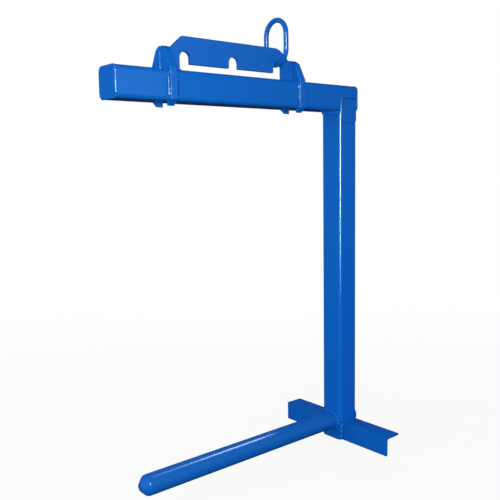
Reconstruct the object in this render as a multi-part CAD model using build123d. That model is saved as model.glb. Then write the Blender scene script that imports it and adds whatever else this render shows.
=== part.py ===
from build123d import *
import os

# Coil lifter: a welded C-frame. Its round load bar goes into the eye of a coil, and a captive ring
# in one of three notches takes the hook. Millimetres, +Z up, origin on the floor under the middle of
# the whole part. X runs along the beam from the bar's nose to the post, -Y is the front.

# Square hollow section of the beam and the post
tube_size = 100
tube_wall = 6
tube_corner = 15

# Top beam, closed by end plates
beam_reach = 975
cap_thickness = 5
cap_proud = 1.5
cap_corner = 18
cap_edge = 4.5

# Post
post_height = 1335
foot_cap_thickness = 6
foot_cap_clearance = 0.2

# Load bar: round bar through the post, with a conical nose
bar_diameter = 72
bar_height = 77
bar_reach = 918
bar_rear = 18
bar_clearance = 0.25
nose_length = 24
nose_face_diameter = 26
bar_rear_chamfer = 2

# Foot: an angle iron on each side of the post, its heel up and towards the nose
angle_leg = 75
angle_thickness = 8
angle_root = 9
angle_toe = 4
angle_heel = 1.5
angle_reach = 228
angle_setback = 13

# Fishplates over the joint of beam and post
fish_width = 78
fish_rear_trim = 4
fish_above = 47
fish_below = 45
fish_thickness = 6
fish_chamfer = 10
fish_edge = 1

# Hanger plate: a comb of notches standing on the beam
plate_thickness = 15
plate_height = 115
plate_setback = 198
leg_width = 67
notch_count = 3
notch_width = 42
notch_depth = 40
tooth_width = 162
slot_height = 26
ear_height = 76
ear_length = 35
shoulder_run = 45
crown_radius = 60

# Cheeks: four claws from the hanger plate round the beam
cheek_thickness = 26
cheek_proud = 4
cheek_wall = 8
cheek_lip = 14
cheek_gap = 64
cheek_cut_width = 24
cheek_cut_height = 19
cheek_top_half_width = 27
cheek_top_drop = 12
cheek_waist = 3
cheek_edge = 1.5

# Lifting ring: an oblong link of round bar
ring_wire = 18
ring_inner_width = 88
ring_inner_length = 140
ring_clearance = 0.3
ring_notch = 2

# Weld seams: plain fillets
weld_leg = 6
bar_weld_leg = 9
head_weld_leg = 8
head_weld_wrap = 55
cap_weld_leg = 1.5
cap_fill = 3
slot_weld_leg = 12

# Places that follow from the sizes
tube_half = tube_size / 2
tube_flat = tube_size - 2 * tube_corner
nose_end = max(beam_reach + cap_thickness, bar_reach)
rear_end = max(bar_rear, cap_thickness)
post_x = (nose_end - rear_end) / 2
post_front = post_x - tube_half
post_back = post_x + tube_half
beam_start = post_front - beam_reach
beam_length = beam_reach + tube_size
beam_middle = post_height + tube_half
beam_top = post_height + tube_size
plate_half = plate_thickness / 2
notch_pitch = notch_width + tooth_width
plate_length = 2 * leg_width + notch_count * notch_width + (notch_count - 1) * tooth_width
plate_end = post_front - plate_setback
plate_start = plate_end - plate_length
plate_ends = {"nose": plate_start, "post": plate_end}
notch_top = slot_height + notch_depth
notch_centres = [plate_start + leg_width + notch_width / 2 + i * notch_pitch for i in range(notch_count)]
cheek_starts = {
    "nose": plate_start - cheek_proud,
    "post": plate_end + cheek_proud - cheek_thickness,
}
sides = {"front": -1, "rear": 1}
fish_spans = {
    -1: (post_x - fish_width / 2, post_x + fish_width / 2),
    1: (post_x - fish_width / 2 + fish_rear_trim, post_x + fish_width / 2),
}


def tube_section():
    bore = tube_size - 2 * tube_wall
    inside = RectangleRounded(bore, bore, tube_corner - tube_wall)
    return RectangleRounded(tube_size, tube_size, tube_corner) - inside


def along_x(section, start, length):
    # carries a section drawn in Y and Z along the beam
    return extrude(Plane.YZ.offset(start) * section, amount=length)


def beam_envelope():
    # the beam's outside, for what is cut to sit on it
    section = Pos(0, beam_middle) * RectangleRounded(tube_size, tube_size, tube_corner)
    return along_x(section, beam_start, beam_length)


def top_beam():
    return along_x(Pos(0, beam_middle) * tube_section(), beam_start, beam_length)


def cap_outline():
    # square a little larger than the tube, its corners cut off
    side = tube_size + 2 * cap_proud
    square = Rectangle(side, side)
    return chamfer(square.vertices(), cap_corner)


def beam_cap(start, outward):
    # end plate with its outer edge rounded
    plate = along_x(Pos(0, beam_middle) * cap_outline(), start, cap_thickness)
    outer_face = plate.faces().sort_by(Axis.X)[-1 if outward > 0 else 0]
    return fillet(outer_face.edges(), cap_edge)


def post():
    # stands square under the beam, bored through both faces for the load bar
    shaft = extrude(Pos(post_x, 0) * tube_section(), amount=post_height)
    bore = Pos(0, bar_height) * Circle(bar_diameter / 2 + bar_clearance)
    return shaft - along_x(bore, post_front, tube_size)


def post_foot_cap():
    side = tube_size - 2 * tube_wall - 2 * foot_cap_clearance
    corner = tube_corner - tube_wall - foot_cap_clearance
    return extrude(Pos(post_x, 0) * RectangleRounded(side, side, corner), amount=foot_cap_thickness)


def load_bar():
    # half profile turned about the bar's axis
    radius = bar_diameter / 2
    tip = post_front - bar_reach
    rear = post_back + bar_rear
    profile = make_face(Polyline(
        (tip, 0),
        (tip, nose_face_diameter / 2),
        (tip + nose_length, radius),
        (rear - bar_rear_chamfer, radius),
        (rear, radius - bar_rear_chamfer),
        (rear, 0),
        close=True,
    ))
    return Pos(0, 0, bar_height) * revolve(Plane.XZ * profile, Axis.X)


def foot_angle(side):
    # rolled L-section: heel up and towards the nose, root filleted, toes rounded
    leg, wall = angle_leg, angle_thickness
    outline = Polyline(
        (0, 0),
        (wall, 0),
        (wall, leg - wall),
        (leg, leg - wall),
        (leg, leg),
        (0, leg),
        close=True,
    )
    section = make_face(outline)
    rounds = {
        (wall, leg - wall): angle_root,
        (wall, 0): angle_toe,
        (leg, leg - wall): angle_toe,
        (0, leg): angle_heel,
    }
    for place, radius in rounds.items():
        section = fillet(section.vertices().sort_by_distance(place)[0], radius)
    frame = Plane((post_front + angle_setback, side * tube_half, 0), x_dir=(1, 0, 0), z_dir=(0, -1, 0))
    return extrude(frame * section, amount=-side * angle_reach)


def fishplate(side):
    # plate on the sides of beam and post, its lower corners cut off
    start, stop = fish_spans[side]
    low, high = post_height - fish_below, post_height + fish_above
    outline = make_face(Polyline(
        (start, high),
        (start, low + fish_chamfer),
        (start + fish_chamfer, low),
        (stop - fish_chamfer, low),
        (stop, low + fish_chamfer),
        (stop, high),
        close=True,
    ))
    frame = Plane((0, side * tube_half, 0), x_dir=(1, 0, 0), z_dir=(0, -1, 0))
    plate = extrude(frame * outline, amount=-side * fish_thickness)
    outer_face = plate.faces().sort_by(Axis.Y)[-1 if side > 0 else 0]
    return chamfer(outer_face.edges(), fish_edge)


def hanger_plate():
    # comb outline drawn in X and Z from the plate's nose end on the beam's top
    blank = make_face(Polyline(
        (0, 0),
        (plate_length, 0),
        (plate_length, ear_height),
        (plate_length - ear_length, ear_height),
        (plate_length - ear_length - shoulder_run, plate_height),
        (ear_length + shoulder_run, plate_height),
        (ear_length, ear_height),
        (0, ear_height),
        close=True,
    ))
    post_crown = (plate_length - ear_length - shoulder_run, plate_height)
    blank = fillet(blank.vertices().sort_by_distance(post_crown)[0], crown_radius)
    slot_length = plate_length - 2 * leg_width
    blank -= Pos(plate_length / 2, slot_height / 2) * Rectangle(slot_length, slot_height)
    radius = notch_width / 2
    for centre in notch_centres:
        middle = centre - plate_start
        straight = notch_top - radius
        blank -= Pos(middle, straight / 2) * Rectangle(notch_width, straight)
        blank -= Pos(middle, straight) * Circle(radius)
    frame = Plane((plate_start, 0, beam_top), x_dir=(1, 0, 0), z_dir=(0, -1, 0))
    return extrude(frame * blank, amount=plate_half, both=True)


def cheek(start, side):
    # claw outline in Y and Z, cut to sit on the beam, with a lip hooked under it
    outside = tube_half + cheek_wall
    bottom = post_height - cheek_lip
    top = beam_top + ear_height
    outline = make_face(Polyline(
        (plate_half, beam_middle),
        (plate_half, top),
        (cheek_top_half_width, top - cheek_top_drop),
        (outside, beam_top + cheek_waist),
        (outside, bottom + cheek_cut_height),
        (outside - cheek_cut_width, bottom),
        (cheek_gap / 2, bottom),
        (cheek_gap / 2, beam_middle),
        close=True,
    ))
    claw = along_x(outline, start, cheek_thickness)
    rounded = []
    for edge in claw.edges().filter_by(Axis.X, reverse=True):
        middle = edge.center()
        if middle.Y > cheek_gap / 2 + cheek_edge or middle.Z > top - cheek_top_drop:
            rounded.append(edge)
    claw = fillet(rounded, cheek_edge)
    claw -= beam_envelope()
    return claw if side > 0 else mirror(claw, Plane.XZ)


def lifting_ring():
    # two half turns and two straight sides, standing in the plane across the beam
    radius = (ring_inner_width + ring_wire) / 2
    straight = ring_inner_length - ring_inner_width
    rise = radius - (radius**2 - plate_half**2) ** 0.5
    low = beam_top + notch_top - ring_clearance - ring_wire / 2 - rise + radius
    wire = Circle(ring_wire / 2)
    middle = notch_centres[ring_notch]
    bow_axis = Axis((middle, 0, low), (-1, 0, 0))
    crown_axis = Axis((middle, 0, low + straight), (1, 0, 0))
    section = Plane((middle, radius, low), x_dir=(1, 0, 0), z_dir=(0, 0, 1)) * wire
    bow = revolve(section, bow_axis, 180)
    crown = revolve(Pos(0, 0, straight) * section, crown_axis, 180)
    rear_side = extrude(section, amount=straight)
    return bow + crown + rear_side + Pos(0, -2 * radius, 0) * rear_side


def fillet_run(corner, direction, face_a, face_b, leg_a, leg_b, length):
    # straight fillet weld: a corner point, the way it runs, and its leg on each of the two faces
    turn = 1 if Vector(*face_a).cross(Vector(*face_b)).dot(Vector(*direction)) > 0 else -1
    frame = Plane(corner, x_dir=face_a, z_dir=direction)
    triangle = make_face(Polyline((0, 0), (leg_a, 0), (0, turn * leg_b), close=True))
    return extrude(frame * triangle, amount=length)


def corner_run(x, outward, side, low, length):
    # upright fillet weld from a plate's edge on the post's side down onto the post's rounded corner
    depth = tube_corner * (1 - 0.5**0.5)
    corner = (x, side * (tube_half - depth), low)
    legs = (tube_corner - depth, weld_leg + depth)
    run = fillet_run(corner, (0, 0, 1), (outward, 0, 0), (0, side, 0), *legs, length)
    outline = Pos(post_x, 0) * RectangleRounded(tube_size, tube_size, tube_corner)
    return run - extrude(outline, amount=post_height)


def welds_load_bar():
    # ring fillets where the bar leaves the post's two faces
    radius = bar_diameter / 2
    rings = []
    for face, outward in ((post_front, -1), (post_back, 1)):
        profile = make_face(Polyline(
            (face, radius),
            (face, radius + bar_weld_leg),
            (face + outward * bar_weld_leg, radius),
            close=True,
        ))
        rings.append(Pos(0, 0, bar_height) * revolve(Plane.XZ * profile, Axis.X))
    return rings


def welds_post_head():
    # seams under the beam on the post's nose side, wrapped round its corners, and under the cap on its
    # back, and fills of the two grooves that the beam's rounded corners leave over the post's sides
    leg = head_weld_leg
    corner = (post_front, -tube_flat / 2, post_height)
    nose = fillet_run(corner, (0, 1, 0), (-1, 0, 0), (0, 0, -1), leg, leg, tube_flat)
    corner = (post_back, -tube_flat / 2, post_height - cap_proud)
    back = fillet_run(corner, (0, 1, 0), (1, 0, 0), (0, 0, -1), cap_thickness, cap_thickness, tube_flat)
    runs = [nose, back]
    fill_leg = (2 - 2**0.5) * tube_corner
    for side in sides.values():
        corner = (post_x - tube_flat / 2, side * tube_half, post_height)
        runs.append(fillet_run(corner, (1, 0, 0), (0, -side, 0), (0, 0, 1), fill_leg, fill_leg, tube_flat))
        triangle = make_face(Polyline(
            (-tube_corner, 0),
            (-tube_corner - leg, 0),
            (-tube_corner, -leg),
            close=True,
        ))
        centre = (post_x - tube_flat / 2, side * tube_flat / 2, post_height)
        section = Plane(centre, x_dir=(1, 0, 0), z_dir=(0, -1, 0)) * triangle
        runs.append(revolve(section, Axis(centre, (0, 0, -side)), head_weld_wrap))
    return runs


def welds_cheeks():
    # upright seams where both faces of each claw meet the beam's side, where the face towards the
    # notches meets the hanger plate, and where the plate's end meets the claw that stands past it
    low = post_height + tube_corner
    up = (0, 0, 1)
    plate_run = ear_height - cheek_top_drop - weld_leg
    runs = []
    for end, start in cheek_starts.items():
        faces = {-1: start, 1: start + cheek_thickness}
        inward = 1 if end == "nose" else -1
        for side in sides.values():
            away = (0, side, 0)
            for outward, x in faces.items():
                corner = (x, side * tube_half, low)
                runs.append(fillet_run(corner, up, (outward, 0, 0), away, weld_leg, weld_leg, tube_flat))
            corner = (faces[inward], side * plate_half, beam_top + weld_leg)
            runs.append(fillet_run(corner, up, (inward, 0, 0), away, weld_leg, weld_leg, plate_run))
            corner = (plate_ends[end], side * plate_half, beam_top)
            legs = (cheek_proud, cheek_proud)
            runs.append(fillet_run(corner, up, (-inward, 0, 0), (0, -side, 0), *legs, ear_height - cheek_top_drop))
    return runs


def welds_fishplates():
    # seams along each fishplate's upright edges on the beam and on the post, and along its top
    low = post_height + tube_corner
    high = post_height + fish_above
    foot = post_height - fish_below + fish_chamfer
    back_leg = min(weld_leg, tube_half - fish_width / 2 - cap_weld_leg)
    runs = []
    for side in sides.values():
        start, stop = fish_spans[side]
        away = (0, side, 0)
        for x, outward, leg in ((start, -1, weld_leg), (stop, 1, back_leg)):
            corner = (x, side * tube_half, low)
            runs.append(fillet_run(corner, (0, 0, 1), (outward, 0, 0), away, leg, leg, high - low))
            runs.append(corner_run(x, outward, side, foot, post_height - head_weld_leg - foot))
        corner = (start, side * tube_half, high)
        runs.append(fillet_run(corner, (1, 0, 0), (0, 0, 1), away, weld_leg, weld_leg, stop - start))
    return runs


def welds_hanger_plate():
    # seams beside the plate's legs between each claw and the slot, and a fillet in the slot's nose end
    up = (0, 0, 1)
    length = leg_width + cheek_proud - cheek_thickness
    runs = []
    for start in (cheek_starts["nose"] + cheek_thickness, plate_end - leg_width):
        for side in sides.values():
            corner = (start, side * plate_half, beam_top)
            runs.append(fillet_run(corner, (1, 0, 0), (0, side, 0), up, weld_leg, weld_leg, length))
    corner = (plate_start + leg_width, -plate_half, beam_top)
    runs.append(fillet_run(corner, (0, 1, 0), (1, 0, 0), up, slot_weld_leg, slot_weld_leg, plate_thickness))
    return runs


def welds_foot_angles():
    # seams where each angle's flange meets the post's corner, and where its top meets the post's side
    x = post_front + angle_setback
    length = angle_leg - angle_toe - angle_heel
    runs = []
    for side in sides.values():
        runs.append(corner_run(x, -1, side, 0, angle_leg - angle_heel))
        corner = (x + angle_heel, side * tube_half, angle_leg)
        runs.append(fillet_run(corner, (1, 0, 0), (0, 0, 1), (0, side, 0), weld_leg, weld_leg, length))
    return runs


def welds_caps():
    # seams on the tube behind each end plate's proud rim, and fills on the tube's end beside the
    # plate's cut corners
    leg = cap_weld_leg
    length = tube_size + 2 * cap_proud - 2 * cap_corner
    corners = Pos(0, beam_middle) * (RectangleRounded(tube_size, tube_size, tube_corner) - cap_outline())
    runs = []
    for x, inward in ((beam_start, 1), (post_back, -1)):
        along = (inward, 0, 0)
        for side in sides.values():
            corner = (x, side * tube_half, beam_middle - length / 2)
            runs.append(fillet_run(corner, (0, 0, 1), along, (0, side, 0), leg, leg, length))
        corner = (x, -length / 2, beam_top)
        runs.append(fillet_run(corner, (0, 1, 0), along, (0, 0, 1), leg, leg, length))
        runs.extend(along_x(corners, x, -inward * cap_fill).solids())
    return runs


def pieces():
    nodes = {
        "top_beam": top_beam(),
        "beam_cap_nose": beam_cap(beam_start - cap_thickness, -1),
        "beam_cap_post": beam_cap(post_back, 1),
        "post": post(),
        "post_foot_cap": post_foot_cap(),
        "load_bar": load_bar(),
        "hanger_plate": hanger_plate(),
        "lifting_ring": lifting_ring(),
    }
    for name, side in sides.items():
        nodes["foot_angle_" + name] = foot_angle(side)
        nodes["fishplate_" + name] = fishplate(side)
        for end, start in cheek_starts.items():
            nodes["cheek_" + end + "_" + name] = cheek(start, side)
    seams = (
        welds_load_bar,
        welds_post_head,
        welds_cheeks,
        welds_fishplates,
        welds_hanger_plate,
        welds_foot_angles,
        welds_caps,
    )
    for seam in seams:
        nodes[seam.__name__] = Compound(seam())
    return nodes


os.makedirs("parts", exist_ok=True)
for name, shape in pieces().items():
    export_step(shape, "parts/" + name + ".step")
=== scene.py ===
import math
import bmesh
import bpy
from mathutils import Matrix, Vector, noise


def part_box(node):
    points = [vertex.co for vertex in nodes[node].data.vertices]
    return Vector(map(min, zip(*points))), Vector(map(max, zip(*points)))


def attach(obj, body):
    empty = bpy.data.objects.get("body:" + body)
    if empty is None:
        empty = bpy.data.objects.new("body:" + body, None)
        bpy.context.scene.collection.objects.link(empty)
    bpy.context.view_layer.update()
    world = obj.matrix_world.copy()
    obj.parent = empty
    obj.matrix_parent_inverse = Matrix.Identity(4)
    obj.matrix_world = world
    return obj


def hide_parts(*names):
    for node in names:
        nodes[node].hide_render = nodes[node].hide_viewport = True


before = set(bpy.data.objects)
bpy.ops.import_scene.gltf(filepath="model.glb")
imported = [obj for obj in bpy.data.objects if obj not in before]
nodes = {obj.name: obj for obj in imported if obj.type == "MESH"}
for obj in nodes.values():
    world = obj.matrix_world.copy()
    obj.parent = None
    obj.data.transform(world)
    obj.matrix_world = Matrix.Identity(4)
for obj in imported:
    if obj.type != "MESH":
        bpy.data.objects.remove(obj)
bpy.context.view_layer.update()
scene = bpy.context.scene
scene.view_settings.view_transform = "Standard"


# Small helpers for node trees

def addNode(tree, kind, inputs=None, **settings):
    node = tree.nodes.new(kind)
    for key, value in settings.items():
        setattr(node, key, value)
    for key, value in (inputs or {}).items():
        if isinstance(value, bpy.types.NodeSocket):
            tree.links.new(value, node.inputs[key])
        else:
            node.inputs[key].default_value = value
    return node


def doMath(tree, operation, *values, clamp=False):
    node = addNode(tree, "ShaderNodeMath", dict(enumerate(values)), operation=operation, use_clamp=clamp)
    return node.outputs[0]


def doVector(tree, operation, *values):
    inputs = dict(enumerate(values))
    if operation == "SCALE":
        inputs = {0: values[0], "Scale": values[1]}
    node = addNode(tree, "ShaderNodeVectorMath", inputs, operation=operation)
    return node.outputs["Value" if operation in ("DOT_PRODUCT", "LENGTH") else "Vector"]


def mixValue(tree, factor, low, high):
    return addNode(tree, "ShaderNodeMix", {0: factor, 2: low, 3: high}, data_type="FLOAT").outputs[0]


def mixColour(tree, factor, first, second):
    return addNode(tree, "ShaderNodeMix", {0: factor, 6: first, 7: second}, data_type="RGBA").outputs[2]


def makeGroup(name, kind, inputs, outputs):
    group = bpy.data.node_groups.new(name, kind)
    for label, socketType, value in inputs:
        socket = group.interface.new_socket(label, in_out="INPUT", socket_type=socketType)
        if value is not None:
            socket.default_value = value
    for label, socketType in outputs:
        group.interface.new_socket(label, in_out="OUTPUT", socket_type=socketType)
    return group, group.nodes.new("NodeGroupInput").outputs, group.nodes.new("NodeGroupOutput").inputs


# Camera at the photo's viewpoint

photoCamera = {
    "place": (-1.57119, -1.88177, 1.1194),
    "yaw": 39.95,       # degrees to the right of +Y
    "pitch": -6.85,
    "roll": -0.96,
    "focal": 680.28,    # pixels, in a frame this wide
    "frame": 500,
    "sensor": 36,
}


def makeCamera(spec):
    yaw, pitch, roll = (math.radians(spec[key]) for key in ("yaw", "pitch", "roll"))
    ahead = Vector((math.sin(yaw) * math.cos(pitch), math.cos(yaw) * math.cos(pitch), math.sin(pitch)))
    level = Vector((math.cos(yaw), -math.sin(yaw), 0))
    upward = level.cross(ahead)
    across = math.cos(roll) * level + math.sin(roll) * upward
    above = math.cos(roll) * upward - math.sin(roll) * level
    data = bpy.data.cameras.new("photoCamera")
    data.sensor_width = spec["sensor"]
    data.lens = spec["sensor"] * spec["focal"] / spec["frame"]
    camera = bpy.data.objects.new("photoCamera", data)
    turn = Matrix((across, above, -ahead)).transposed().to_4x4()
    camera.matrix_world = Matrix.Translation(spec["place"]) @ turn
    scene.collection.objects.link(camera)
    scene.camera = camera
    return camera


camera = makeCamera(photoCamera)
print("camera: %.1f mm lens at %s" % (camera.data.lens, photoCamera["place"]))


# Paint: one enamel in several finishes, over tube, plate, weld and ground steel

enamel = {
    "colour": (0.0035, 0.122, 0.55, 1),
    "specular": 0.5,
    "bump": 0.0006,         # depth of the film's relief
    "cloudScale": 4.0,      # slow drift of the colour over a piece
    "speckScale": 90.0,     # fine drift
    "cloudShare": 0.7,
    "speckShare": 0.3,
    "hueDrift": 0.06,
    "valueDrift": 2.0,
}
cutStretch = (1, 0.06, 1)   # the cut's lines run across the plate's thickness


def makeFilmGroup(spec):
    group, given, result = makeGroup("enamelFilm", "ShaderNodeTree", [
        ("Vector", "NodeSocketVector", None),
        ("Colour", "NodeSocketColor", (0.005, 0.1, 0.45, 1)),
        ("Mottle", "NodeSocketFloat", 0.06),
        ("Gloss", "NodeSocketFloat", 0.2),
        ("Gloss Drift", "NodeSocketFloat", 0.06),
        ("Peel Size", "NodeSocketFloat", 0.002),
        ("Peel Height", "NodeSocketFloat", 0.3),
        ("Wave Size", "NodeSocketFloat", 0.05),
        ("Wave Height", "NodeSocketFloat", 0.5),
    ], [
        ("Colour", "NodeSocketColor"),
        ("Roughness", "NodeSocketFloat"),
        ("Height", "NodeSocketFloat"),
    ])

    def grain(scale, detail):
        inputs = {"Vector": given["Vector"], "Scale": scale, "Detail": detail}
        return addNode(group, "ShaderNodeTexNoise", inputs).outputs[0]

    cloud = grain(spec["cloudScale"], 3.0)
    speck = grain(spec["speckScale"], 2.0)
    drift = doMath(group, "ADD", doMath(group, "MULTIPLY", cloud, spec["cloudShare"]),
                   doMath(group, "MULTIPLY", speck, spec["speckShare"]))
    spread = doMath(group, "MULTIPLY", doMath(group, "SUBTRACT", drift, 0.5), given["Mottle"])
    shade = addNode(group, "ShaderNodeHueSaturation", {
        "Color": given["Colour"],
        "Hue": doMath(group, "ADD", doMath(group, "MULTIPLY", spread, spec["hueDrift"]), 0.5),
        "Value": doMath(group, "ADD", doMath(group, "MULTIPLY", spread, spec["valueDrift"]), 1.0),
    })
    group.links.new(shade.outputs["Color"], result["Colour"])
    rough = doMath(group, "MULTIPLY", doMath(group, "SUBTRACT", speck, 0.5), given["Gloss Drift"])
    group.links.new(doMath(group, "ADD", rough, given["Gloss"]), result["Roughness"])
    peel = grain(doMath(group, "DIVIDE", 1.0, given["Peel Size"]), 1.0)
    wave = grain(doMath(group, "DIVIDE", 1.0, given["Wave Size"]), 1.0)
    high = doMath(group, "ADD", doMath(group, "MULTIPLY", peel, given["Peel Height"]),
                  doMath(group, "MULTIPLY", wave, given["Wave Height"]))
    group.links.new(high, result["Height"])
    return group


def makeCutGroup():
    # drag lines of a flame cut, on the edges of a plate that stands in X and Z
    group, given, result = makeGroup("flameCut", "ShaderNodeTree", [
        ("Vector", "NodeSocketVector", None),
        ("Line Size", "NodeSocketFloat", 0.0012),
        ("Line Height", "NodeSocketFloat", 1.0),
    ], [("Height", "NodeSocketFloat")])
    flat = doVector(group, "MULTIPLY", given["Vector"], cutStretch)
    scale = doMath(group, "DIVIDE", 1.0, given["Line Size"])
    line = addNode(group, "ShaderNodeTexNoise", {"Vector": flat, "Scale": scale, "Detail": 2.0})
    normal = addNode(group, "ShaderNodeNewGeometry").outputs["True Normal"]
    facing = doMath(group, "ABSOLUTE", doVector(group, "DOT_PRODUCT", normal, (0, 1, 0)))
    edge = doMath(group, "SUBTRACT", 1.0, facing, clamp=True)
    high = doMath(group, "MULTIPLY", doMath(group, "MULTIPLY", line.outputs[0], edge), given["Line Height"])
    group.links.new(high, result["Height"])
    return group


filmGroup = makeFilmGroup(enamel)
cutGroup = makeCutGroup()

finishes = {
    "sectionPaint": {"Mottle": 0.05, "Gloss": 0.13, "Gloss Drift": 0.04,
                     "Peel Size": 0.0022, "Peel Height": 0.05, "Wave Size": 0.06, "Wave Height": 0.3},
    "platePaint": {"Mottle": 0.06, "Gloss": 0.13, "Gloss Drift": 0.04,
                   "Peel Size": 0.0022, "Peel Height": 0.06, "Wave Size": 0.03, "Wave Height": 0.25},
    "hangerPaint": {"Mottle": 0.06, "Gloss": 0.2, "Gloss Drift": 0.04,
                    "Peel Size": 0.0022, "Peel Height": 0.06, "Wave Size": 0.03, "Wave Height": 0.25},
    "barPaint": {"Mottle": 0.06, "Gloss": 0.24, "Gloss Drift": 0.01,
                 "Peel Size": 0.0022, "Peel Height": 0.002, "Wave Size": 0.03, "Wave Height": 0.02},
    "ringPaint": {"Mottle": 0.1, "Gloss": 0.15, "Gloss Drift": 0.06,
                  "Peel Size": 0.002, "Peel Height": 0.02, "Wave Size": 0.008, "Wave Height": 0.04},
    "weldPaint": {"Mottle": 0.14, "Gloss": 0.13, "Gloss Drift": 0.06,
                  "Peel Size": 0.0016, "Peel Height": 0.1, "Wave Size": 0.004, "Wave Height": 0.3},
}


def makePaint(name, values, cutLines=None):
    material = bpy.data.materials.new(name)
    material.use_nodes = True
    tree = material.node_tree
    shader = tree.nodes["Principled BSDF"]
    shader.inputs["Specular IOR Level"].default_value = enamel["specular"]
    place = addNode(tree, "ShaderNodeTexCoord").outputs["Object"]
    film = addNode(tree, "ShaderNodeGroup", node_tree=filmGroup)
    tree.links.new(place, film.inputs["Vector"])
    film.inputs["Colour"].default_value = enamel["colour"]
    for key, value in values.items():
        film.inputs[key].default_value = value
    height = film.outputs["Height"]
    if cutLines:
        cut = addNode(tree, "ShaderNodeGroup", node_tree=cutGroup)
        tree.links.new(place, cut.inputs["Vector"])
        for key, value in cutLines.items():
            cut.inputs[key].default_value = value
        height = doMath(tree, "ADD", height, cut.outputs["Height"])
    bump = addNode(tree, "ShaderNodeBump", {"Height": height, "Distance": enamel["bump"], "Strength": 1.0})
    tree.links.new(film.outputs["Colour"], shader.inputs["Base Color"])
    tree.links.new(film.outputs["Roughness"], shader.inputs["Roughness"])
    tree.links.new(bump.outputs["Normal"], shader.inputs["Normal"])
    return material


plateCut = {"Line Size": 0.0012, "Line Height": 0.35}
cutFinishes = ("platePaint", "hangerPaint")
paints = {}
for finish, values in finishes.items():
    paints[finish] = makePaint(finish, values, plateCut if finish in cutFinishes else None)
print("paint: %d finishes" % len(paints))

nodePaint = {
    "top_beam": "sectionPaint", "post": "sectionPaint", "post_foot_cap": "platePaint",
    "beam_cap_nose": "sectionPaint", "beam_cap_post": "sectionPaint", "lifting_ring": "ringPaint",
    "fishplate_front": "platePaint", "fishplate_rear": "platePaint",
    "cheek_nose_front": "platePaint", "cheek_nose_rear": "platePaint",
    "cheek_post_front": "platePaint", "cheek_post_rear": "platePaint",
}
for name, finish in nodePaint.items():
    nodes[name].material_slots[0].material = paints[finish]


# Finished pieces

def addPiece(name, mesh, finish):
    mesh.materials.clear()
    mesh.materials.append(paints[finish])
    piece = bpy.data.objects.new(name, mesh)
    scene.collection.objects.link(piece)
    return piece


def keepPiece(piece, body, *replaced):
    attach(piece, body)
    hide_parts(*replaced)


# Plates and angles with their edges broken

softEdges = {
    "hangerPlate": {"node": "hanger_plate", "width": 0.002, "finish": "hangerPaint"},
    "footAngleFront": {"node": "foot_angle_front", "width": 0.0007, "finish": "sectionPaint"},
    "footAngleRear": {"node": "foot_angle_rear", "width": 0.0007, "finish": "sectionPaint"},
}
edgeBreak = {
    "angle": math.radians(40),    # edges sharper than this are broken
    "segments": 3,
    "merge": 1e-6,
    "level": math.radians(0.6),   # faces this level with each other become one
}


def mergedCopy(name, source):
    mesh = bmesh.new()
    mesh.from_mesh(source)
    bmesh.ops.remove_doubles(mesh, verts=mesh.verts, dist=edgeBreak["merge"])
    bmesh.ops.dissolve_limit(mesh, angle_limit=edgeBreak["level"], verts=mesh.verts, edges=mesh.edges)
    mesh.verts.index_update()
    points = [vertex.co.copy() for vertex in mesh.verts]
    faces = [[vertex.index for vertex in face.verts] for face in mesh.faces]
    mesh.free()
    plain = bpy.data.meshes.new(name)
    plain.from_pydata(points, [], faces)
    plain.shade_smooth()
    plain.set_sharp_from_angle(angle=edgeBreak["angle"])
    return plain


for name, spec in softEdges.items():
    piece = addPiece(name, mergedCopy(name, nodes[spec["node"]].data), spec["finish"])
    bevel = piece.modifiers.new("brokenEdge", "BEVEL")
    bevel.width = spec["width"]
    bevel.segments = edgeBreak["segments"]
    bevel.limit_method = "ANGLE"
    bevel.angle_limit = edgeBreak["angle"]
    bevel.harden_normals = True
    keepPiece(piece, "frame", spec["node"])
print("plates: %d pieces with broken edges" % len(softEdges))


# Load bar with its hand-ground nose

loadBar = {
    "noseLength": 0.024,
    "noseFace": 0.013,      # radius of the flat at the tip
    "tipRound": 0.005,
    "rimRound": 0.007,
    "rearChamfer": 0.002,
    "around": 128,
    "dent": 0.0008,         # depth of the grinding marks on the nose
    "dentBias": 0.6,        # how far they go inwards rather than outwards
    "dentSize": 0.012,
    "dentReach": 0.05,
    "tipRows": 4,           # rings over the flat at the tip
    "roundSteps": 8,
    "sharp": 35,            # degrees, edges sharper than this stay crisp
}


def roundedProfile(points, rounds, steps):
    # points with a corner rounded where a size is given
    out = []
    for i, point in enumerate(points):
        size = rounds.get(i)
        if not size:
            out.append(point)
            continue
        before = point + (points[i - 1] - point).normalized() * size
        after = point + (points[i + 1] - point).normalized() * size
        for k in range(steps + 1):
            t = k / steps
            out.append(before * (1 - t) ** 2 + point * 2 * t * (1 - t) + after * t * t)
    return out


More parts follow.
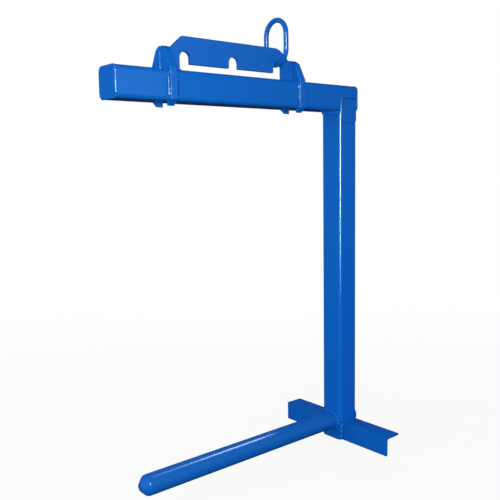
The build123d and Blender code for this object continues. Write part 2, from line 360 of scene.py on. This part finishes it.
def makeLoadBar(spec):
    low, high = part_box("load_bar")
    radius = (high.z - low.z) / 2
    height = (high.z + low.z) / 2
    corners = [
        Vector((low.x, 0)),
        Vector((low.x, spec["noseFace"])),
        Vector((low.x + spec["noseLength"], radius)),
        Vector((low.x + spec["dentReach"], radius)),
        Vector((high.x - spec["rearChamfer"], radius)),
        Vector((high.x, radius - spec["rearChamfer"])),
        Vector((high.x, 0)),
    ]
    profile = roundedProfile(corners, {1: spec["tipRound"], 2: spec["rimRound"]}, spec["roundSteps"])
    rows = spec["tipRows"]
    profile[1:1] = [profile[0] + (profile[1] - profile[0]) * k / rows for k in range(1, rows)]
    around = spec["around"]
    mesh = bmesh.new()
    rings = []
    for x, r in profile:
        if r == 0:
            rings.append([mesh.verts.new((x, 0, height))])
            continue
        ring = []
        fade = max(0.0, 1 - (x - low.x) / spec["dentReach"])
        for k in range(around):
            turn = 2 * math.pi * k / around
            spot = Vector((x, r * math.cos(turn), r * math.sin(turn)))
            dent = (noise.noise(spot / spec["dentSize"]) - spec["dentBias"]) * spec["dent"] * fade
            outward = Vector((0, math.cos(turn), math.sin(turn)))
            ring.append(mesh.verts.new(spot + outward * dent + Vector((0, 0, height))))
        rings.append(ring)
    for first, second in zip(rings, rings[1:]):
        for k in range(around):
            a, b = first[k % len(first)], first[(k + 1) % len(first)]
            c, d = second[(k + 1) % len(second)], second[k % len(second)]
            if len(first) == 1:
                mesh.faces.new([a, c, d])
            elif len(second) == 1:
                mesh.faces.new([a, b, c])
            else:
                mesh.faces.new([a, b, c, d])
    bmesh.ops.recalc_face_normals(mesh, faces=mesh.faces)
    made = bpy.data.meshes.new("loadBar")
    mesh.to_mesh(made)
    mesh.free()
    made.shade_smooth()
    made.set_sharp_from_angle(angle=math.radians(spec["sharp"]))
    return addPiece("loadBar", made, "barPaint")


keepPiece(makeLoadBar(loadBar), "frame", "load_bar")
print("load bar: turned and ground")


# Weld beads: each seam is a path with its two leg directions, and one tree lays the rippled bead on it

weldBead = {
    "leg": 0.006,
    "barLeg": 0.009,
    "headLeg": 0.008,
    "headWrap": 55,        # degrees round the post's corners
    "wrapSteps": 12,
    "slotLeg": 0.012,
    "capLeg": 0.0015,
    "capFill": 0.0045,
    "capCorner": 0.018,    # cut corner of the end caps
    "tubeCorner": 0.015,   # outer round of the square tubes
    "cheekDrop": 0.012,    # the hanger plate's upright seams stop this far below a claw's top
    "legWidth": 0.067,     # width of the hanger plate's legs
    "fishChamfer": 0.01,
    "fishLeg": 0.0048,     # bead between the fishplate and the post's rounded corner
    "fishSink": 0.0032,    # depth of its root below the flat of the tube
    "angleHeel": 0.0015,
    "angleToe": 0.004,
    "pitch": 0.0038,       # ripples
    "barPitch": 1.2,       # the same round the bar, in pitches
    "capPitch": 0.0016,
    "dabPitch": 0.0115,    # dabs of the rod
    "dab": 0.3,            # height of a dab, as a share of the leg
    "ripple": 0.02,        # height of a ripple, as a share of the leg
    "bow": 0.55,           # how far a ripple trails at its ends, in pitches
    "stray": 0.8,          # how far a dab strays from its place, in pitches
    "bulge": 0.25,
    "lean": 0.15,          # how far a dab tips to one side, as a share of the leg
    "uneven": 0.3,
    "unevenSize": 0.012,
    "spread": 1.5,         # width of a bead on the tube, in legs
    "innerLeg": 0.0042,    # seams between the plate's faces and the claws
    "calm": 0.2,           # share of the dabs and ripples there
    "footCalm": 0.5,       # the same at the foot and beside the fishplates on the post
    "rippleSteps": 6.0,    # cross sections for each ripple
    "faceSteps": 9,        # points across the face
    "endSize": 0.3,        # size of a bead at its two ends
    "runShift": 61.0,      # keeps the dabs of one seam from repeating those of the next
    "seed": 4.0,
}
axisX, axisY, axisZ = Vector((1, 0, 0)), Vector((0, 1, 0)), Vector((0, 0, 1))


def makeWeldTree(spec):
    tree, given, result = makeGroup("weldBead", "GeometryNodeTree", [
        ("Path", "NodeSocketGeometry", None),
        ("Pitch", "NodeSocketFloat", 0.0036),
        ("Ripple", "NodeSocketFloat", 0.02),
        ("Dab Pitch", "NodeSocketFloat", 0.01),
        ("Dab", "NodeSocketFloat", 0.2),
        ("Bow", "NodeSocketFloat", 0.5),
        ("Stray", "NodeSocketFloat", 0.3),
        ("Lean", "NodeSocketFloat", 0.1),
        ("Bulge", "NodeSocketFloat", 0.4),
        ("Uneven", "NodeSocketFloat", 0.2),
        ("Uneven Size", "NodeSocketFloat", 0.01),
        ("Seed", "NodeSocketFloat", 1.0),
        ("Paint", "NodeSocketMaterial", None),
    ], [("Bead", "NodeSocketGeometry")])

    def stored(name, kind="FLOAT"):
        node = addNode(tree, "GeometryNodeInputNamedAttribute", {"Name": name}, data_type=kind)
        return node.outputs["Attribute"]

    def store(geometry, name, value, kind="FLOAT"):
        node = addNode(tree, "GeometryNodeStoreNamedAttribute", {"Geometry": geometry, "Name": name},
                       data_type=kind, domain="POINT")
        tree.links.new(value, node.inputs["Value"])
        return node.outputs["Geometry"]

    legA, legB = stored("legA", "FLOAT_VECTOR"), stored("legB", "FLOAT_VECTOR")
    path = addNode(tree, "GeometryNodeMeshToCurve", {"Mesh": given["Path"]}).outputs[0]
    tangent = addNode(tree, "GeometryNodeInputTangent").outputs[0]
    handed = doVector(tree, "DOT_PRODUCT", doVector(tree, "CROSS_PRODUCT", tangent, legA), legB)
    path = addNode(tree, "GeometryNodeReverseCurve", {
        "Curve": path, "Selection": doMath(tree, "LESS_THAN", handed, 0.0)}).outputs[0]
    step = doMath(tree, "DIVIDE", given["Pitch"], spec["rippleSteps"])
    even = addNode(tree, "GeometryNodeResampleCurve", {"Curve": path}, mode="LENGTH")
    tree.links.new(step, even.inputs["Length"])
    path = even.outputs[0]
    along = addNode(tree, "GeometryNodeSplineParameter").outputs["Length"]
    whole = addNode(tree, "GeometryNodeSplineLength").outputs["Length"]
    path = store(path, "along", along)
    # the bead swells from its two ends, unless the seam is a ring
    nearEnd = doMath(tree, "MINIMUM", along, doMath(tree, "SUBTRACT", whole, along))
    rise = doMath(tree, "DIVIDE", nearEnd, stored("leg"), clamp=True)
    rise = doMath(tree, "MAXIMUM", doMath(tree, "POWER", rise, 0.5), stored("ring"))
    rise = doMath(tree, "ADD", doMath(tree, "MULTIPLY", rise, 1 - spec["endSize"]), spec["endSize"])
    lump = addNode(tree, "ShaderNodeTexNoise", {
        "Vector": addNode(tree, "GeometryNodeInputPosition").outputs[0], "W": given["Seed"],
        "Scale": doMath(tree, "DIVIDE", 1.0, given["Uneven Size"]), "Detail": 1.0},
        noise_dimensions="4D").outputs[0]
    swell = doMath(tree, "MULTIPLY", doMath(tree, "SUBTRACT", lump, 0.5), given["Uneven"])
    swell = doMath(tree, "ADD", swell, 1.0)
    size = doMath(tree, "MULTIPLY", stored("leg"), doMath(tree, "MULTIPLY", rise, swell))
    path = store(path, "lump", lump)
    turned = addNode(tree, "GeometryNodeSetCurveNormal", {"Curve": path}, mode="FREE")
    tree.links.new(legA, turned.inputs["Normal"])
    path = turned.outputs[0]
    # section: a slice with its corner in the seam, its face between a flat and a quarter round
    arc = addNode(tree, "GeometryNodeCurveArc", {
        "Resolution": spec["faceSteps"], "Radius": 1.0, "Start Angle": 0.0, "Sweep Angle": math.pi / 2,
        "Connect Center": True})
    spot = addNode(tree, "GeometryNodeInputPosition").outputs[0]
    section = store(arc.outputs[0], "spot", spot, "FLOAT_VECTOR")
    split = addNode(tree, "ShaderNodeSeparateXYZ", {0: spot}).outputs
    chord = doMath(tree, "DIVIDE", 1.0, doMath(tree, "ADD", split[0], split[1]))
    section = addNode(tree, "GeometryNodeSetPosition", {
        "Geometry": section,
        "Position": doVector(tree, "SCALE", spot, mixValue(tree, given["Bulge"], chord, 1.0))}).outputs[0]
    bead = addNode(tree, "GeometryNodeCurveToMesh", {
        "Curve": path, "Profile Curve": section, "Scale": size, "Fill Caps": True}).outputs[0]
    # dabs and ripples: scallops across the face that trail towards the toes
    across = addNode(tree, "ShaderNodeSeparateXYZ", {0: stored("spot", "FLOAT_VECTOR")}).outputs
    face = doMath(tree, "MULTIPLY", doMath(tree, "MULTIPLY", across[0], across[1]), 2.0)
    sideways = doMath(tree, "SUBTRACT", across[0], across[1])
    trail = doMath(tree, "MULTIPLY", doMath(tree, "MULTIPLY", sideways, sideways), given["Bow"])

    def scallops(pitch, stray):
        turns = doMath(tree, "ADD", doMath(tree, "DIVIDE", stored("along"), pitch), trail)
        turns = doMath(tree, "ADD", turns, doMath(tree, "MULTIPLY", stored("lump"), stray))
        return turns, doMath(tree, "ABSOLUTE", doMath(tree, "SINE", doMath(tree, "MULTIPLY", turns, math.pi)))

    ripple = scallops(given["Pitch"], 0.0)[1]
    turns, dab = scallops(given["Dab Pitch"], given["Stray"])
    shift = doMath(tree, "MULTIPLY", stored("run"), spec["runShift"])
    count = doMath(tree, "ADD", doMath(tree, "FLOOR", turns), shift)
    own = addNode(tree, "ShaderNodeTexWhiteNoise", {
        "W": doMath(tree, "ADD", count, given["Seed"])}, noise_dimensions="1D").outputs["Value"]
    lean = doMath(tree, "MULTIPLY", sideways, given["Lean"])
    tip = doMath(tree, "MULTIPLY", doMath(tree, "SUBTRACT", own, 0.5), lean)
    dabs = doMath(tree, "MULTIPLY", dab, doMath(tree, "ADD", doMath(tree, "MULTIPLY", face, given["Dab"]), tip))
    ripples = doMath(tree, "MULTIPLY", doMath(tree, "MULTIPLY", ripple, face), given["Ripple"])
    lift = doMath(tree, "ADD", dabs, ripples)
    lift = doMath(tree, "MULTIPLY", doMath(tree, "MULTIPLY", lift, stored("leg")), stored("lively"))
    outward = doVector(tree, "ADD", doVector(tree, "SCALE", legA, across[0]),
                       doVector(tree, "SCALE", legB, across[1]))
    # the foot on the first face spreads further than on the second
    wider = doMath(tree, "MULTIPLY", doMath(tree, "SUBTRACT", stored("spread"), 1.0), stored("leg"))
    foot = doVector(tree, "SCALE", legA, doMath(tree, "MULTIPLY", wider, across[0]))
    offset = doVector(tree, "ADD", doVector(tree, "SCALE", outward, lift), foot)
    bead = addNode(tree, "GeometryNodeSetPosition", {"Geometry": bead, "Offset": offset}).outputs[0]
    bead = addNode(tree, "GeometryNodeSetShadeSmooth", {"Geometry": bead}).outputs[0]
    bead = addNode(tree, "GeometryNodeRealizeInstances", {"Geometry": bead}).outputs[0]
    bead = addNode(tree, "GeometryNodeSetMaterial", {"Geometry": bead, "Material": given["Paint"]}).outputs[0]
    tree.links.new(bead, result["Bead"])
    return tree


seamVectors = ("legA", "legB")
seamValues = ("leg", "ring", "spread", "lively", "run")
beadLayers = ("along", "lump", "spot")


class SeamPaths:
    def __init__(self):
        self.points, self.edges, self.runs = [], [], 0
        self.layers = {label: [] for label in seamVectors + seamValues}

    def put(self, point, legA, legB, leg, ring, spread=1.0, lively=1.0):
        self.points.append(point)
        row = (legA, legB, leg, ring, spread, lively, float(self.runs))
        for label, value in zip(seamVectors + seamValues, row):
            self.layers[label].append(value)

    def addRun(self, corner, along, length, legA, legB, leg, spread=1.0, lively=1.0):
        first = len(self.points)
        self.runs += 1
        for share in (0, 1):
            self.put(corner + along * length * share, legA, legB, leg, 0.0, spread, lively)
        self.edges.append((first, first + 1))

    def addPath(self, points, legsA, legB, leg):
        first = len(self.points)
        self.runs += 1
        for point, legA in zip(points, legsA):
            self.put(point, legA, legB, leg, 0.0)
        for k in range(len(points) - 1):
            self.edges.append((first + k, first + k + 1))

    def addRing(self, centre, outward, radius, leg, steps=96):
        first = len(self.points)
        self.runs += 1
        for k in range(steps):
            turn = 2 * math.pi * k / steps
            radial = axisY * math.cos(turn) + axisZ * math.sin(turn)
            self.put(centre + radial * radius, radial, outward, leg, 1.0)
            self.edges.append((first + k, first + (k + 1) % steps))

    def makeMesh(self, name):
        mesh = bpy.data.meshes.new(name)
        mesh.from_pydata(self.points, self.edges, [])
        for label in seamVectors:
            layer = mesh.attributes.new(label, "FLOAT_VECTOR", "POINT")
            layer.data.foreach_set("vector", [number for vector in self.layers[label] for number in vector])
        for label in seamValues:
            mesh.attributes.new(label, "FLOAT", "POINT").data.foreach_set("value", self.layers[label])
        return mesh


weldTree = makeWeldTree(weldBead)


def layBeads(name, node, paths, pitch):
    piece = addPiece(name, paths.makeMesh(name), "weldPaint")
    modifier = piece.modifiers.new("weldBead", "NODES")
    modifier.node_group = weldTree
    values = {
        "Pitch": pitch, "Ripple": weldBead["ripple"], "Bow": weldBead["bow"], "Stray": weldBead["stray"],
        "Dab Pitch": pitch * weldBead["dabPitch"] / weldBead["pitch"], "Dab": weldBead["dab"],
        "Lean": weldBead["lean"], "Bulge": weldBead["bulge"],
        "Uneven": weldBead["uneven"], "Uneven Size": weldBead["unevenSize"], "Seed": weldBead["seed"],
        "Paint": paints["weldPaint"],
    }
    for socket in weldTree.interface.items_tree:
        if socket.in_out == "INPUT" and socket.name in values:
            modifier[socket.identifier] = values[socket.name]
    settled = bpy.data.meshes.new_from_object(piece.evaluated_get(bpy.context.evaluated_depsgraph_get()))
    piece.modifiers.clear()
    piece.data = settled
    settled.name = name
    for label in seamVectors + seamValues + beadLayers:
        if label in settled.attributes:
            settled.attributes.remove(settled.attributes[label])
    clean = bmesh.new()
    clean.from_mesh(settled)
    bmesh.ops.recalc_face_normals(clean, faces=clean.faces)
    clean.to_mesh(settled)
    clean.free()
    keepPiece(piece, "frame", node)
    print("welds: %s, %d faces" % (name, len(settled.polygons)))


boxes = {name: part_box(name) for name in nodes}
postLow, postHigh = boxes["post"]
beamLow, beamHigh = boxes["top_beam"]
barLow, barHigh = boxes["load_bar"]
plateLow, plateHigh = boxes["hanger_plate"]
tubeHalf = beamHigh.y
flatHalf = tubeHalf - weldBead["tubeCorner"]
beamMiddle = (beamLow.z + beamHigh.z) / 2
cornerDepth = weldBead["tubeCorner"] * (1 - math.sqrt(0.5))
cornerLeg = weldBead["leg"] + cornerDepth
leg = weldBead["leg"]
sides = {"front": -axisY, "rear": axisY}

barSeams = SeamPaths()
barMiddle = (barLow.z + barHigh.z) / 2
barRadius = (barHigh.z - barLow.z) / 2
for x, outward in ((postLow.x, -axisX), (postHigh.x, axisX)):
    barSeams.addRing(Vector((x, 0, barMiddle)), outward, barRadius, weldBead["barLeg"])
layBeads("weldsLoadBar", "welds_load_bar", barSeams, weldBead["pitch"] * weldBead["barPitch"])

headSeams = SeamPaths()
capLow, capHigh = boxes["beam_cap_post"]
# along the post's nose side and round its two corners
wrapSteps = weldBead["wrapSteps"]
wrapPoints, wrapLegs = [], []
for side in (-1, 1):
    for k in range(wrapSteps + 1):
        share = (1 - k / wrapSteps) if side < 0 else k / wrapSteps
        turn = math.radians(weldBead["headWrap"]) * share * side
        away = -axisX * math.cos(turn) + axisY * math.sin(turn)
        centre = Vector((postLow.x + weldBead["tubeCorner"], side * flatHalf, postHigh.z))
        wrapPoints.append(centre + away * weldBead["tubeCorner"])
        wrapLegs.append(away)
headSeams.addPath(wrapPoints, wrapLegs, -axisZ, weldBead["headLeg"])
underCap = Vector((postHigh.x, -flatHalf, capLow.z))
headSeams.addRun(underCap, axisY, 2 * flatHalf, axisX, -axisZ, capHigh.x - capLow.x)
for side in sides.values():
    corner = Vector(((postLow.x + postHigh.x) / 2 - flatHalf, side.y * tubeHalf, postHigh.z))
    headSeams.addRun(corner, axisX, 2 * flatHalf, -side, axisZ, 2 * cornerDepth)
layBeads("weldsPostHead", "welds_post_head", headSeams, weldBead["pitch"])

cheekSeams, plateSeams = SeamPaths(), SeamPaths()
for end, inward in (("nose", axisX), ("post", -axisX)):
    for name, side in sides.items():
        low, high = boxes["cheek_%s_%s" % (end, name)]
        spread = weldBead["spread"] if end == "nose" else 1.0
        for x, outward in ((low.x, -axisX), (high.x, axisX)):
            corner = Vector((x, side.y * tubeHalf, beamMiddle - flatHalf))
            cheekSeams.addRun(corner, axisZ, 2 * flatHalf, outward, side, leg, spread)
        corner = Vector((high.x if inward.x > 0 else low.x, side.y * plateHigh.y, beamHigh.z + leg))
        length = high.z - weldBead["cheekDrop"] - corner.z
        plateSeams.addRun(corner, axisZ, length, inward, side, weldBead["innerLeg"], 1.0, weldBead["calm"])
        # on the plate's end, beside the claw that stands past it
        plateEnd = plateLow.x if inward.x > 0 else plateHigh.x
        proud = abs(plateEnd - (low.x if inward.x > 0 else high.x))
        corner = Vector((plateEnd, side.y * plateHigh.y, beamHigh.z))
        length = high.z - weldBead["cheekDrop"] - corner.z
        cheekSeams.addRun(corner, axisZ, length, -inward, -side, proud)
layBeads("weldsCheeks", "welds_cheeks", cheekSeams, weldBead["pitch"])

fishSeams = SeamPaths()
for name, side in sides.items():
    low, high = boxes["fishplate_" + name]
    for x, outward in ((low.x, -axisX), (high.x, axisX)):
        onBeam = Vector((x, side.y * tubeHalf, beamMiddle - flatHalf))
        fishSeams.addRun(onBeam, axisZ, high.z - onBeam.z, outward, side, leg, weldBead["spread"])
        onPost = Vector((x, side.y * (tubeHalf - weldBead["fishSink"]), low.z + weldBead["fishChamfer"]))
        length = onBeam.z + weldBead["fishLeg"] / 2 - onPost.z
        fishSeams.addRun(onPost, axisZ, length, outward, side, weldBead["fishLeg"], 1.0, weldBead["footCalm"])
    topEdge = Vector((low.x, side.y * tubeHalf, high.z))
    fishSeams.addRun(topEdge, axisX, high.x - low.x, axisZ, side, leg)
layBeads("weldsFishplates", "welds_fishplates", fishSeams, weldBead["pitch"])

for start, stop in ((boxes["cheek_nose_front"][1].x, plateLow.x + weldBead["legWidth"]),
                    (plateHigh.x - weldBead["legWidth"], boxes["cheek_post_front"][0].x)):
    for side in sides.values():
        corner = Vector((start, side.y * plateHigh.y, beamHigh.z))
        plateSeams.addRun(corner, axisX, stop - start, side, axisZ, leg)
slotEnd = Vector((plateLow.x + weldBead["legWidth"], plateLow.y, beamHigh.z))
plateSeams.addRun(slotEnd, axisY, plateHigh.y - plateLow.y, axisX, axisZ, weldBead["slotLeg"])
layBeads("weldsHangerPlate", "welds_hanger_plate", plateSeams, weldBead["pitch"])

footSeams = SeamPaths()
for name, side in sides.items():
    low, high = boxes["foot_angle_" + name]
    flange = Vector((low.x, side.y * (tubeHalf - cornerDepth), low.z))
    length = high.z - low.z - weldBead["angleHeel"]
    footSeams.addRun(flange, axisZ, length, -axisX, side, cornerLeg, 1.0, weldBead["footCalm"])
    top = Vector((low.x + weldBead["angleHeel"], side.y * tubeHalf, high.z))
    length = high.x - weldBead["angleToe"] - top.x
    footSeams.addRun(top, axisX, length, axisZ, side, leg, 1.0, weldBead["footCalm"])
layBeads("weldsFootAngles", "welds_foot_angles", footSeams, weldBead["pitch"])

capSeams = SeamPaths()
capHalf = capHigh.y
capFlat = capHalf - weldBead["capCorner"]
for x, inward in ((beamLow.x, axisX), (beamHigh.x, -axisX)):
    for side in sides.values():
        corner = Vector((x, side.y * tubeHalf, beamMiddle - capFlat))
        capSeams.addRun(corner, axisZ, 2 * capFlat, inward, side, weldBead["capLeg"])
        # fills beside the cap's cut corners
        for upward in (axisZ, -axisZ):
            start = Vector((x, side.y * flatHalf, beamMiddle + upward.z * (capHalf + capFlat - flatHalf)))
            along = (side - upward).normalized()
            length = -(2 * flatHalf - capHalf - capFlat) * math.sqrt(2)
            capSeams.addRun(start, along, length, -inward, (side + upward).normalized(), weldBead["capFill"])
    capSeams.addRun(Vector((x, -capFlat, beamHigh.z)), axisY, 2 * capFlat, inward, axisZ, weldBead["capLeg"])
layBeads("weldsCaps", "welds_caps", capSeams, weldBead["capPitch"])


# Studio: pale floor, white surround, lamps, and dark cards that only show in the gloss

studio = {
    "floorSize": 14.0,
    "floorSides": 96,
    "floorColour": (0.82, 0.82, 0.82, 1),
    "floorWhite": 0.9,     # share of plain white in what the camera sees of the floor near the object
    "whiteFrom": 0.7,      # the floor turns plain white between these distances
    "whiteTo": 4.0,
    "bounce": 0.15,        # colour of the floor for the light that it throws back
    "ambient": 1.2,        # light from the sides
    "overhead": 0.05,      # light from straight above and below
    "ambientTint": (0.86, 0.96, 1.1, 1),
    "cardRadius": 9.0,
    "cardHeight": 7.0,
    "cardSides": 48,
    "cardDark": (0.008, 0.02, 0.045, 1),
    "gap": 0.0004,         # the floor lies this far below the object's foot, the cards as far above it
}
doorway = {
    "colour": (0.33, 0.5, 0.75, 1),
    "turns": (15, 31),     # degrees from -Y towards +X
    "heights": (0.6, 3.6),
    "distance": 7.0,
    "without": ("loadBar",),
}


def linkStage(obj):
    scene.collection.objects.link(obj)
    return obj


def seenWhite(tree):
    # camera, mirrored and transmitted rays see the white surround
    path = addNode(tree, "ShaderNodeLightPath").outputs
    seen = doMath(tree, "MAXIMUM", path["Is Camera Ray"], path["Is Glossy Ray"])
    return doMath(tree, "MAXIMUM", seen, path["Is Transmission Ray"])


def makeFloor(spec):
    mesh = bpy.data.meshes.new("floor")
    build = bmesh.new()
    bmesh.ops.create_circle(build, cap_ends=True, segments=spec["floorSides"], radius=spec["floorSize"])
    build.to_mesh(mesh)
    build.free()
    floor = linkStage(bpy.data.objects.new("floor", mesh))
    floor.location.z = -spec["gap"]
    material = bpy.data.materials.new("paleFloor")
    material.use_nodes = True
    material.cycles.emission_sampling = "NONE"    # its white is only seen and lights nothing
    tree = material.node_tree
    tree.nodes.remove(tree.nodes["Principled BSDF"])
    seen = seenWhite(tree)
    grey = (spec["bounce"], spec["bounce"], spec["bounce"], 1)
    lit = addNode(tree, "ShaderNodeBsdfDiffuse", {"Color": mixColour(tree, seen, grey, spec["floorColour"])})
    white = addNode(tree, "ShaderNodeEmission", {"Color": (1, 1, 1, 1), "Strength": 1.0})
    away = doVector(tree, "LENGTH", addNode(tree, "ShaderNodeTexCoord").outputs["Object"])
    share = addNode(tree, "ShaderNodeMapRange", {
        "Value": away, "From Min": spec["whiteFrom"], "From Max": spec["whiteTo"],
        "To Min": spec["floorWhite"], "To Max": 1.0}, interpolation_type="SMOOTHSTEP").outputs[0]
    blend = addNode(tree, "ShaderNodeMixShader", {
        0: doMath(tree, "MULTIPLY", seen, share), 1: lit.outputs[0], 2: white.outputs[0]})
    tree.links.new(blend.outputs[0], tree.nodes["Material Output"].inputs["Surface"])
    mesh.materials.append(material)


def makeWorld(spec):
    world = bpy.data.worlds.new("whiteSurround")
    world.use_nodes = True
    scene.world = world
    tree = world.node_tree
    # for the light on the object, strong at the sides and weak overhead
    way = addNode(tree, "ShaderNodeSeparateXYZ", {0: addNode(tree, "ShaderNodeTexCoord").outputs["Generated"]})
    level = doMath(tree, "SUBTRACT", 1.0, doMath(tree, "ABSOLUTE", way.outputs[2]), clamp=True)
    light = mixValue(tree, level, spec["overhead"], spec["ambient"])
    seen = seenWhite(tree)
    strength = mixValue(tree, seen, light, 1.0)
    back = tree.nodes["Background"]
    tree.links.new(mixColour(tree, seen, spec["ambientTint"], (1, 1, 1, 1)), back.inputs["Color"])
    tree.links.new(strength, back.inputs["Strength"])


def glossOnly(obj, colour):
    # a card that only the paint's gloss mirrors
    for ray in ("camera", "diffuse", "transmission", "volume_scatter", "shadow"):
        setattr(obj, "visible_" + ray, False)
    material = bpy.data.materials.new(obj.name)
    material.use_nodes = True
    material.cycles.emission_sampling = "NONE"    # only mirrored rays find it
    tree = material.node_tree
    tree.nodes.remove(tree.nodes["Principled BSDF"])
    glow = addNode(tree, "ShaderNodeEmission", {"Color": colour, "Strength": 1.0})
    tree.links.new(glow.outputs[0], tree.nodes["Material Output"].inputs["Surface"])
    obj.data.materials.append(material)


def makeCards(spec):
    mesh = bpy.data.meshes.new("darkCards")
    build = bmesh.new()
    radius, height = spec["cardRadius"], spec["cardHeight"]
    lift = Matrix.Translation((0, 0, height / 2 + spec["gap"]))
    bmesh.ops.create_cone(build, cap_ends=True, segments=spec["cardSides"], radius1=radius, radius2=radius,
                          depth=height, matrix=lift)
    build.to_mesh(mesh)
    build.free()
    glossOnly(linkStage(bpy.data.objects.new("darkCards", mesh)), spec["cardDark"])


def linkPieces(source, spec):
    # the light reaches only some pieces, or all but some
    for key, state in (("only", "INCLUDE"), ("without", "EXCLUDE")):
        if key in spec:
            pieces = bpy.data.collections.new(source.name + "Pieces")
            for piece in spec[key]:
                pieces.objects.link(bpy.data.objects[piece])
            for entry in pieces.collection_objects:
                entry.light_linking.link_state = state
            source.light_linking.receiver_collection = pieces


def makeDoorway(spec):
    corners = []
    away = spec["distance"]
    for turn, end in zip(spec["turns"] + spec["turns"][::-1], (0, 0, 1, 1)):
        angle = math.radians(turn)
        corners.append((away * math.sin(angle), -away * math.cos(angle), spec["heights"][end]))
    mesh = bpy.data.meshes.new("paleDoorway")
    mesh.from_pydata(corners, [], [(0, 1, 2, 3)])
    card = linkStage(bpy.data.objects.new("paleDoorway", mesh))
    glossOnly(card, spec["colour"])
    linkPieces(card, spec)


claws = ("cheek_nose_front", "cheek_nose_rear", "cheek_post_front", "cheek_post_rear")
postAndClaws = ("post",) + claws
coolTint = (0.62, 0.9, 1.0)
paleTint = (0.7, 0.9, 1.0)
# some lamps light only the paint's colour, others show only in its gloss;
# only and without name the pieces that a lamp reaches or leaves out
lamps = {
    "front": {"place": (-1.66, -1.98, 1.3), "aim": (0.1, 0, 0.95), "size": (0.4, 0.4), "power": 46,
              "colour": (1.0, 1.0, 0.82), "gloss": False},
    "edgeHigh": {"place": (-0.96, -2.48, 1.24), "aim": (0.48, 0, 1.24), "size": (0.25, 0.98), "power": 150,
                 "colour": coolTint, "diffuse": False, "only": postAndClaws},
    "edgeMiddle": {"place": (-0.96, -2.48, 0.6), "aim": (0.48, 0, 0.6), "size": (0.25, 0.3), "power": 23,
                   "colour": coolTint, "diffuse": False, "only": postAndClaws},
    "edgeLow": {"place": (-0.96, -2.48, 0.31), "aim": (0.48, 0, 0.31), "size": (0.25, 0.28), "power": 9,
                "colour": coolTint, "diffuse": False, "only": postAndClaws},
    "clawLamp": {"place": (-0.9, -1.55, 3.3), "aim": (0, 0, 1.45), "size": (0.5, 0.5), "power": 60,
                 "colour": coolTint, "diffuse": False, "only": claws},
    "weldStrip": {"place": (-1.66, -1.98, 1.33), "aim": (0.1, 0, 1.33), "size": (0.6, 1.5), "power": 60,
                  "colour": coolTint, "diffuse": False, "only": ("weldsFootAngles", "weldsCaps")},
    "weldSpark": {"place": (-1.66, -1.98, 1.33), "aim": (0.1, 0, 1.33), "size": (0.8, 0.7), "power": 160,
                  "colour": (0.48, 0.95, 1.0), "diffuse": False, "only": ("weldsCheeks", "weldsFishplates")},
    "capSpark": {"place": (-1.66, -1.98, 1.6), "aim": (-0.49, -0.05, 1.385), "size": (0.3, 0.25), "power": 50,
                 "colour": coolTint, "diffuse": False, "only": ("beam_cap_nose",)},
    "ringSpark": {"place": (-1.66, -1.98, 1.9), "aim": (0.145, 0, 1.9), "size": (0.12, 0.14), "power": 26,
                  "colour": paleTint, "diffuse": False, "only": ("lifting_ring",)},
    "ringStrip": {"place": (-1.66, -1.98, 1.95), "aim": (0.145, 0, 1.95), "size": (0.12, 0.8), "power": 50,
                  "colour": paleTint, "diffuse": False, "only": ("lifting_ring",)},
    "noseLamp": {"place": (-1.6, -1.95, 1.2), "aim": (-0.49, 0, 0.08), "size": (0.2, 0.2), "power": 60,
                 "colour": paleTint, "diffuse": False, "only": ("loadBar",)},
    "softStrip": {"place": (-1.66, -1.98, 0.95), "aim": (0.1, 0, 0.95), "size": (0.6, 0.9), "power": 13,
                  "colour": coolTint, "diffuse": False, "without": ("loadBar",)},
    "barStrip": {"place": (4.07, 0.67, 5.4), "aim": (-0.1, 0, 0.1), "size": (0.25, 1.75), "power": 150,
                 "colour": (0.62, 0.88, 1.0), "diffuse": False, "only": ("loadBar", "weldsLoadBar")},
    "headFill": {"place": (-1.2, -1.2, 0.3), "aim": (0.43, -0.02, 1.32), "size": (0.3, 0.3), "power": 22,
                 "gloss": False, "only": ("weldsPostHead",)},
    "postFill": {"place": (0.48, -3.0, 0.8), "aim": (0.48, 0, 0.75), "size": (0.6, 1.0), "power": 10,
                 "colour": (0.2, 0.3, 1.0), "gloss": False, "only": ("post", "cheek_post_front")},
    "leftFill": {"place": (-3.2, 0.6, 1.6), "aim": (0, 0, 1.1), "size": (1.5, 1.5), "power": 19,
                 "gloss": False},
    "backFill": {"place": (2.6, 3.2, 1.3), "aim": (0, 0, 0.8), "size": (2.0, 2.0), "power": 60,
                 "gloss": False},
}


def makeLamp(name, spec):
    data = bpy.data.lights.new(name, "AREA")
    data.shape = "RECTANGLE"
    data.size, data.size_y = spec["size"]
    data.energy = spec["power"]
    data.color = spec.get("colour", (1, 1, 1))
    lamp = bpy.data.objects.new(name, data)
    lamp.location = spec["place"]
    lamp.rotation_euler = (Vector(spec["aim"]) - Vector(spec["place"])).to_track_quat("-Z", "Y").to_euler()
    lamp.visible_glossy = spec.get("gloss", True)
    lamp.visible_diffuse = spec.get("diffuse", True)
    lamp.visible_camera = False
    linkPieces(lamp, spec)
    scene.collection.objects.link(lamp)


makeFloor(studio)
makeWorld(studio)
makeCards(studio)
makeDoorway(doorway)
for name, spec in lamps.items():
    makeLamp(name, spec)
print("studio: %d lamps" % len(lamps))
